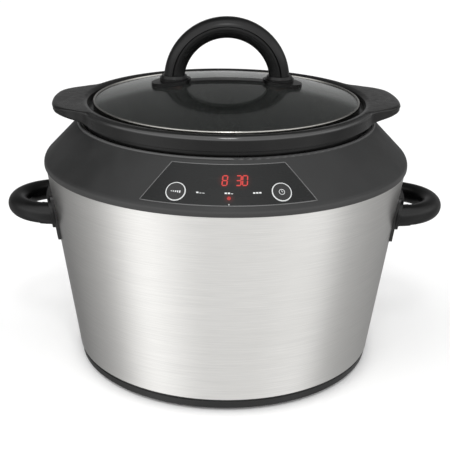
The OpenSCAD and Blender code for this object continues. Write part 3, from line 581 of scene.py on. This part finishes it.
class Plates:
    """A mesh of thin flat plates and rings, given in millimetres in a local plane."""

    thick = 0.06

    def __init__(self, name):
        self.name = name
        self.bm = bmesh.new()

    def plate(self, outline, place):
        low, top = ([self.bm.verts.new(place @ Vector((x * MM, y * MM, z * MM))) for x, y in outline]
                    for z in (0, self.thick))
        self.bm.faces.new(top)
        self.bm.faces.new(low[::-1])
        for i in range(len(outline)):
            j = (i + 1) % len(outline)
            self.bm.faces.new((low[i], low[j], top[j], top[i]))

    def bar(self, x, y, wide, tall, place, cut):
        """A bar with its corners cut, centred at x, y."""
        a, b = wide / 2, tall / 2
        c = min(cut, a * 0.8, b * 0.8)
        points = [
            (-a + c, -b), (a - c, -b), (a, -b + c), (a, b - c),
            (a - c, b), (-a + c, b), (-a, b - c), (-a, -b + c),
        ]
        self.plate([(x + px, y + py) for px, py in points], place)

    def lathe(self, profile, place, steps):
        """A closed ring: the profile's points are radius and height."""
        rings = []
        for i in range(steps):
            a = 2 * math.pi * i / steps
            points = [Vector((r * MM * math.cos(a), r * MM * math.sin(a), z * MM)) for r, z in profile]
            rings.append([self.bm.verts.new(place @ point) for point in points])
        join_rings(self.bm, rings)

    def mesh(self, smooth=False):
        return finished(self.bm, self.name, smooth)


# ---- The panel: digits, lamp, marks and border ----

# Which of the segments a to g are lit in each digit
DIGITS = {"8": "abcdefg", "3": "abcdg", "0": "abcdef"}
DIGIT_STRENGTH, LAMP_STRENGTH = 0.34, 0.1
# The lit lamp's section: radius and height
LAMP_DOME = [(0.02, 0.0), (1.4, 0.0), (1.3, 0.08), (0.7, 0.16), (0.02, 0.18)]


def add_digit(plates, digit, place):
    """A seven-segment digit, about 4 mm by 8 mm, leaning a little."""
    half, tall, stroke, gap, lean = 1.65, 3.7, 0.85, 0.12, 0.1
    e = stroke / 2

    def segment(points):
        plates.plate([(x + lean * y, y) for x, y in points], place)

    def across(y):
        x0, x1 = -half + gap, half - gap
        segment([(x0, y), (x0 + e, y - e), (x1 - e, y - e), (x1, y), (x1 - e, y + e), (x0 + e, y + e)])

    def upright(x, low, high):
        y0, y1 = low + gap, high - gap
        segment([(x, y0), (x + e, y0 + e), (x + e, y1 - e), (x, y1), (x - e, y1 - e), (x - e, y0 + e)])

    segments = {
        "a": (across, tall), "g": (across, 0), "d": (across, -tall),
        "b": (upright, half, 0, tall), "c": (upright, half, -tall, 0),
        "e": (upright, -half, -tall, 0), "f": (upright, -half, 0, tall),
    }
    for name in DIGITS[digit]:
        draw, *where = segments[name]
        draw(*where)


def make_display():
    plates = Plates("display_digits")
    for digit, angle in DIGIT_ANGLES:
        add_digit(plates, digit, on_slope(angle, DIGIT_RISE, PRINT_LIFT))
    lit = lit_red("lit_segment", DIGIT_STRENGTH)
    make_piece("display_digits", plates.mesh(), lit, "housing")
    glow = Plates("lit_lamp")
    glow.lathe(LAMP_DOME, on_slope(0, LAMP_RISE, LAMP_LIFT), steps=40)
    make_piece("lit_lamp", glow.mesh(True), lit_red("lit_lamp", LAMP_STRENGTH), "housing")


def make_marks():
    """Generic level marks over the three lamps: one, two or three tall bars out of three."""
    pitch, wide, tall, low = 2.1, 1.6, 1.1, 0.4
    plates = Plates("panel_marks")
    for angle, tall_bars in ((-LABEL_ANGLE, 1), (0, 2), (LABEL_ANGLE, 3)):
        place = on_slope(angle, LABEL_RISE, PRINT_LIFT)
        for i in range(3):
            high = tall if i < tall_bars else low
            plates.bar((i - 1) * pitch, (high - tall) / 2, wide, high, place, cut=0.1)
    plates.plate([(-0.45, -0.5), (0.45, -0.5), (0.0, 0.5)], on_slope(0, POINTER_RISE, PRINT_LIFT))
    make_piece("panel_marks", plates.mesh(), print_white_painted_glow(), "housing")


# Sections of the ring round each key and of the clock's face: radius and height
KEY_RING = [(7.21, 0.1), (6.82, 0.53), (6.4, 0.475), (6.4, 0.4), (6.8, 0.46), (7.17, 0.07)]
CLOCK_RING = [(1.75, 0.0), (2.1, 0.0), (2.1, 0.05), (1.75, 0.05)]
# The height of a key's face
KEY_FACE = 0.335
# The steps on the select key: their count, pitch and width, the lowest one and the rise of each
STEP_COUNT, STEP_PITCH, STEP_WIDE, STEP_LOW, STEP_RISE = 5, 1.5, 0.8, 0.6, 0.3
# The hands of the clock on the time key: x, y, width and height
CLOCK_HANDS = [(0, 0.6, 0.3, 1.3), (0.45, 0, 1.0, 0.3)]


def make_key_marks():
    """Each key's white ring, and its generic symbol: steps for one, a clock for the other."""
    for body, side in (("select_key", -1), ("time_key", 1)):
        place = on_slope(side * KEY_ANGLE, KEY_RISE)
        ring = Plates(body + "_ring")
        ring.lathe(KEY_RING, place, steps=96)
        make_piece(body + "_ring", ring.mesh(True), print_white_painted_glow(), body)
        mark = Plates(body + "_mark")
        face = place @ Matrix.Translation((0, 0, KEY_FACE * MM))
        if body == "select_key":
            for i in range(STEP_COUNT):
                x = (i - STEP_COUNT // 2) * STEP_PITCH
                mark.bar(x, 0, STEP_WIDE, STEP_LOW + STEP_RISE * i, face, cut=0.1)
        else:
            mark.lathe(CLOCK_RING, face, steps=40)
            for hand in CLOCK_HANDS:
                mark.bar(*hand, face, cut=0.05)
        make_piece(body + "_mark", mark.mesh(), print_white_painted_glow(), body)


def panel_outline(steps=24):
    """Points round the panel as (angle, rise): along the top, down one side, back and up."""
    def reach(rise):
        return SLOPE_R0 / MM - SLOPE * rise

    def corner(angle, rise):
        a = math.radians(angle)
        return Vector((math.sin(a), -math.cos(a))) * reach(rise)

    def edge(rise):
        """The angle at which the panel's straight side crosses a rise, by bisection."""
        top, low = corner(PANEL_TOP_ANGLE, PANEL_HIGH), corner(PANEL_LOW_ANGLE, PANEL_LOW)
        a, b = 0.0, 1.0
        for _ in range(40):
            m = (a + b) / 2
            if top.lerp(low, m).length < reach(rise):
                a = m
            else:
                b = m
        point = top.lerp(low, a)
        return math.degrees(math.atan2(point.x, -point.y))

    rises = [PANEL_HIGH + (PANEL_LOW - PANEL_HIGH) * i / steps for i in range(steps + 1)]
    right = [(edge(r), r) for r in rises]
    left = [(-a, r) for a, r in reversed(right)]
    top_angle, low_angle = right[0][0], right[-1][0]
    bottom = [(low_angle - low_angle * i / steps, PANEL_LOW) for i in range(1, 2 * steps)]
    top = [(top_angle * i / steps - top_angle, PANEL_HIGH) for i in range(1, 2 * steps)]
    return right + bottom + left + top


# The bead's section: millimetres outwards from the panel's edge, and out of the slope
BEAD = [(0.6, -0.02), (0.5, 0.2), (0.2, 0.3), (-0.12, 0.26), (-0.16, 0.1)]


def make_border():
    """A fine raised bead that closes the gap round the panel, in a paler grey that is a painted
    highlight along the panel's edge.
    """
    points = panel_outline()
    bm = bmesh.new()
    centre = on_slope(0, (PANEL_LOW + PANEL_HIGH) / 2).translation
    rings = []
    for i, point in enumerate(points):
        around = (points[k % len(points)] for k in (i - 1, i, i + 1))
        before, here, after = (on_slope(*place).translation for place in around)
        normal = on_slope(*point).to_3x3() @ Vector((0, 0, 1))
        along = ((after - here).normalized() + (here - before).normalized()).normalized()
        out = along.cross(normal).normalized()
        if out.dot(here - centre) < 0:
            out = -out
        rings.append([bm.verts.new(here + out * (u * MM) + normal * (v * MM)) for u, v in BEAD])
    join_rings(bm, rings)
    mesh = finished(bm, "panel_border", smooth=True)
    make_piece("panel_border", mesh, border_highlight_plastic(), "housing")


# ---- The crock, as one smooth skin: millimetres, as the CAD has it ----

RIM_R, CREST_Z, SKIRT_Z, LEDGE_Z = 117.9, 213.3, 201.7, 207.0
# The radii of the rim's outer rounding, of its foot's and of its domed crest
RIM_BEND, RIM_FOOT, CREST_DOME = 3.8, 1.3, 8.5
LUG_REACH, LUG_T, LUG_CREASE, LUG_TURN = 137.0, 6.2, 3.1, 2.0
# The pot's outside radius at its foot, its wall, its floor, and the roundings at its foot
POT_R, POT_WALL, POT_FLOOR, POT_ROUND, POT_ROUND_IN = 103.05, 8.4, 8, 14, 11
# The underside of the rim, from the pot out to the skirt: radius and height
RIM_UNDER = [(110.0, 196.3), (113.6, 196.35), (113.7, SKIRT_Z + 0.05)]
# Inside the rim: how far in from its outside, and how far down from the crest, then up from
# the ledge
CREST_INSIDE, LEDGE_CORNER = [(8.18, 1.3), (8.5, 2.2)], [(8.6, 0.4), (8.9, 0.02)]
LEDGE_R, LEDGE_ROUND = 102.5, 1.5
# Half of a lug's outline: the angle from its middle, and how far in it lies, from 0 to 1
LUG_EDGE = [
    (0, 0), (4.5, 0), (8.5, 0.01), (11, 0.035), (13, 0.09), (15, 0.19), (16.5, 0.3), (18, 0.43),
    (19.5, 0.59), (21, 0.715), (23, 0.835), (25, 0.91), (27, 0.96), (29, 1),
]
# A lug's edge from its top down: depth and inset, with a crease between two rolls
LUG_ROLLS = [
    (0, 4.6), (0, 2.4), (0.25, 1.15), (0.85, 0.35), (1.7, 0.05), (2.45, 0.3), (3.1, 1.0), (3.6, 0.65),
    (4.3, 0.55), (5.25, 1.15), (5.9, 2.4), (6.15, 4.5),
]


def smooth_read(table, x):
    """Reads a table of (x, y) with a smooth curve through its points."""
    def slope(i):
        a, b = table[max(i - 1, 0)], table[min(i + 1, len(table) - 1)]
        return (b[1] - a[1]) / (b[0] - a[0])

    x = min(max(x, table[0][0]), table[-1][0])
    k = next(k for k in range(len(table) - 1) if x <= table[k + 1][0])
    (x0, y0), (x1, y1) = table[k], table[k + 1]
    w, t = x1 - x0, (x - x0) / (x1 - x0)
    m0, m1 = slope(k) * w, slope(k + 1) * w
    return ((2 * t ** 3 - 3 * t ** 2 + 1) * y0 + (t ** 3 - 2 * t ** 2 + t) * m0
            + (3 * t ** 2 - 2 * t ** 3) * y1 + (t ** 3 - t ** 2) * m1)


def arc_points(x, z, r, start, end, steps):
    """Points round an arc, whose ends are given in degrees."""
    angles = [math.radians(start + (end - start) * i / steps) for i in range(steps + 1)]
    return [(x + r * math.cos(a), z + r * math.sin(a)) for a in angles]


def rim_side(part):
    """A point of the rim's outside, from the crest (0) to the skirt (1), without any lug."""
    bend_part, side_part, foot_part = 0.45, 0.4, 0.15
    if part < bend_part:
        a = math.radians(90 * (1 - part / bend_part))
        return RIM_R - RIM_BEND + RIM_BEND * math.cos(a), CREST_Z - RIM_BEND + RIM_BEND * math.sin(a)
    if part < bend_part + side_part:
        top, low = CREST_Z - RIM_BEND, SKIRT_Z + RIM_FOOT
        return RIM_R, top + (part - bend_part) / side_part * (low - top)
    a = math.radians(-90 * (part - bend_part - side_part) / foot_part)
    return RIM_R - RIM_FOOT + RIM_FOOT * math.cos(a), SKIRT_Z + RIM_FOOT + RIM_FOOT * math.sin(a)


def crock_side(angle):
    """Points down the outside of the rim at an angle in degrees from a lug's middle."""
    # the lug's top lies under the crest, and towards the lug's end it gets thicker, its edge
    # gets tighter and it fades quickly into the rim
    sink, thicken, tighten, quick = 0.2, 1.2, 0.75, 4.5
    part = min(max(smooth_read(LUG_EDGE, abs(angle)), 0.0), 1.0)
    reach = LUG_REACH + part * (RIM_R - 0.1 - LUG_REACH)
    blend = min(1.0, (1 - part) * quick)
    blend = blend * blend * (3 - 2 * blend)
    grow = (1 + thicken * part) * (LUG_T - LUG_CREASE) / LUG_CREASE
    points = []
    for i, (depth, inset) in enumerate(LUG_ROLLS):
        r, z = rim_side(i / (len(LUG_ROLLS) - 1))
        lug_r = reach - inset * (1 - tighten * part)
        lug_z = CREST_Z - sink - min(depth, LUG_CREASE) - max(depth - LUG_CREASE, 0) * grow
        points.append((r + blend * (lug_r - r), z + blend * (lug_z - z)))
    root = RIM_R - RIM_FOOT
    under_r, under_z = points[-1]
    points.append((root + 0.4 * (under_r - root) * blend, under_z - 0.25 * blend))
    points.append((root, under_z + blend * (SKIRT_Z - under_z) * 0.35))
    points.append((root - 0.1, SKIRT_Z))
    return points


def make_crock():
    """Its profile goes round in fine steps; near a lug the rim's outside swells into it."""
    floor_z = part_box("crock")[0].z / MM
    floor_in = floor_z + POT_FLOOR
    foot_r, foot_in = POT_R - POT_ROUND, POT_R - POT_WALL - POT_ROUND_IN
    below = [(foot_r, floor_z)] + arc_points(foot_r, floor_z + POT_ROUND, POT_ROUND, -80, 0, 8)
    below += RIM_UNDER
    above = arc_points(RIM_R - RIM_BEND, CREST_Z - CREST_DOME, CREST_DOME, 93, 115, 5)
    above += [(RIM_R - inset, CREST_Z - down) for inset, down in CREST_INSIDE]
    above += [(RIM_R - inset, LEDGE_Z + up) for inset, up in LEDGE_CORNER]
    above.append((LEDGE_R, LEDGE_Z))
    above += arc_points(LEDGE_R, LEDGE_Z - LEDGE_ROUND, LEDGE_ROUND, 100, 180, 6)
    above += arc_points(foot_in, floor_in + POT_ROUND_IN, POT_ROUND_IN, 0, -90, 8)
    steps = 360
    bm = bmesh.new()
    rings = []
    for i in range(steps):
        a = 360 * i / steps
        from_lug = (a - LUG_TURN + 90) % 180 - 90
        way = Vector((math.cos(math.radians(a)), math.sin(math.radians(a)), 0))
        profile = below + crock_side(from_lug)[::-1] + above
        rings.append([bm.verts.new(way * (r * MM) + Vector((0, 0, z * MM))) for r, z in profile])
    join_rings(bm, rings, closed=False)
    foot = bm.verts.new((0, 0, floor_z * MM))
    middle = bm.verts.new((0, 0, floor_in * MM))
    for i, this in enumerate(rings):
        after = rings[(i + 1) % steps]
        bm.faces.new((foot, after[0], this[0]))
        bm.faces.new((middle, this[-1], after[-1]))
    mesh = finished(bm, "crock_skin", smooth=True)
    mesh.set_sharp_from_angle(angle=math.radians(50))
    piece = make_piece("crock_skin", mesh, stoneware(), "crock")
    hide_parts("crock")


# ---- Materials on the CAD nodes ----

# The function for each of the record's material slots has the slot's name, and the grips have
# one of their own
MAKERS = {maker.__name__: maker for maker in (
    casing_steel, rim_steel, plain_steel, screw_steel, well_aluminium, stoneware, smoked_glass,
    panel_gloss, key_gloss, rubber, silicone, circuit_board, component, wool, wire, ribbon, lamp,
    charcoal_plastic, black_plastic, grip_plastic,
)}
GRIPS = {"handle_left", "handle_right", "lid_handle", "lid_foot_collars", "lid_strip"}


def dress_nodes():
    made = {}
    for row in frame["record"]["subparts"]:
        kind = "grip_plastic" if row["node"] in GRIPS else row["material_slot"]
        if kind not in made:
            made[kind] = MAKERS[kind]()
        materials = frame["nodes"][row["node"]].data.materials
        if len(materials) == 0:
            materials.append(made[kind])
        for i in range(len(materials)):
            materials[i] = made[kind]


scene.view_settings.view_transform = "Standard"
make_camera()
make_world()
make_lights()
make_floor()
dress_nodes()
make_display()
make_marks()
make_key_marks()
make_border()
make_crock()
